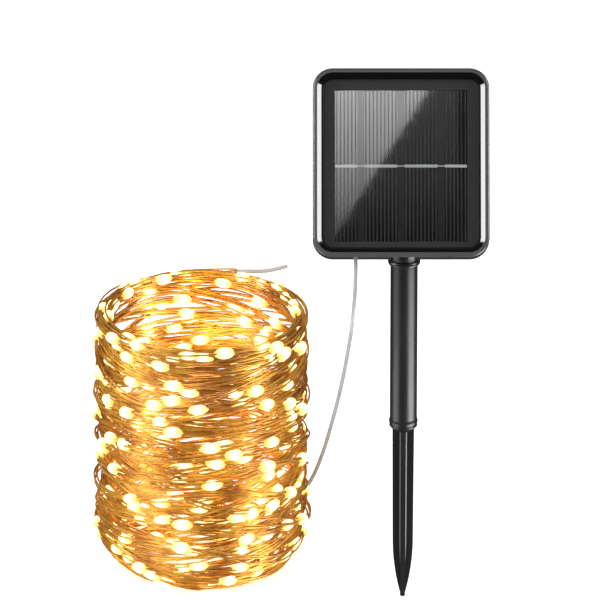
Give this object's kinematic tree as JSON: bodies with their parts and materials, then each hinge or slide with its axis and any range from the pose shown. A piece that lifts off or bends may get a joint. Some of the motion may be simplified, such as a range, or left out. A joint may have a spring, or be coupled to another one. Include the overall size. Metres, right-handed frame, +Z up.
{
  "type": "solar string lights",
  "caption": "Tilting solar panel head on a swivel bracket and ground stake, with a lead to a round coil of copper-wire string lights.",
  "frame": {"origin": "the tip of the ground spike, on the level of the ground that the coil stands on", "axes": "+Z up along the stake, -Y to the front, the way the panel faces, +X to the right seen from the front"},
  "size_m": [0.2233, 0.2142, 0.3205],
  "materials": {
    "bezel_gloss": "high-gloss black ABS",
    "face_matte": "fine matte black",
    "backsheet_black": "black laminate board",
    "silicon": "dark blue-black silicon",
    "finger_silver": "printed silver, dull",
    "ribbon_silver": "tinned ribbon",
    "clear_cover": "clear glossy cover",
    "housing_black": "moulded black ABS, fine texture",
    "seal_rubber": "soft black seal",
    "screw_steel": "zinc-plated steel",
    "bolt_black": "black-coated steel",
    "knob_black": "moulded black nylon",
    "washer_nylon": "dark nylon",
    "cell_wrap": "shrink-wrapped cell",
    "contact_metal": "nickel-plated contact",
    "board_green": "green solder mask",
    "chip_black": "moulded package",
    "button_rubber": "soft matt button",
    "wire_red": "insulated wire",
    "gland_black": "black moulded strain relief",
    "stake_black": "satin black ABS",
    "lead_grey": "silver-grey PVC",
    "tie_black": "plastic-covered tie",
    "sleeve_clear": "pale shrink sleeve",
    "copper_wire": "enamelled copper wire",
    "string_bulk": "loosely wound copper string, mostly air, about 300 kg per cubic metre in bulk",
    "light_drop": "warm glowing resin drop"
  },
  "bodies": {
    "bracket": {"swivel_bracket": "stake_black", "lead_wire": "lead_grey", "lead_coil": "lead_grey", "lead_tie": "tie_black", "lead_link": "lead_grey", "splice_sleeve": "sleeve_clear", "string_coil": "string_bulk", "led_drops": "light_drop", "string_tail": "copper_wire", "tail_sleeve": "sleeve_clear"},
    "stake": {"stake_tube": "stake_black", "ground_spike": "stake_black"},
    "head": {"front_bezel": "bezel_gloss", "face_plate": "face_matte", "cell_backsheet": "backsheet_black", "solar_cells": "silicon", "cell_fingers": "finger_silver", "busbar_ribbon": "ribbon_silver", "laminate_cover": "clear_cover", "rear_housing": "housing_black", "panel_gasket": "seal_rubber", "housing_screws": "screw_steel", "door_screws": "screw_steel", "battery_door": "housing_black", "battery_cell": "cell_wrap", "battery_contact": "contact_metal", "battery_spring": "contact_metal", "circuit_board": "board_green", "circuit_parts": "chip_black", "button_switches": "chip_black", "panel_wires": "wire_red", "cable_gland": "gland_black", "tilt_bolt": "bolt_black", "hinge_washers": "washer_nylon", "lead_wire_top": "lead_grey"},
    "knob": {"tilt_knob": "knob_black"},
    "power_key": {"power_button": "button_rubber"},
    "mode_key": {"mode_button": "button_rubber"}
  },
  "joints": [
    {"name": "stake_swivel", "type": "hinge", "parent": "bracket", "child": "stake", "pos_m": [0, 0, 0.2], "axis": [0, 0, 1], "continuous": true},
    {"name": "head_tilt", "type": "hinge", "parent": "bracket", "child": "head", "pos_m": [0, 0, 0.239], "axis": [-1, 0, 0], "range_deg": [-30, 60]},
    {"name": "knob_turn", "type": "hinge", "parent": "head", "child": "knob", "pos_m": [0, 0, 0.239], "axis": [1, 0, 0], "continuous": true},
    {"name": "power_press", "type": "slide", "parent": "head", "child": "power_key", "axis": [0, -0.866, 0.5], "range_m": [0, 0.0005], "stiffness_N_per_m": 800},
    {"name": "mode_press", "type": "slide", "parent": "head", "child": "mode_key", "axis": [0, -0.866, 0.5], "range_m": [0, 0.0005], "stiffness_N_per_m": 800}
  ]
}
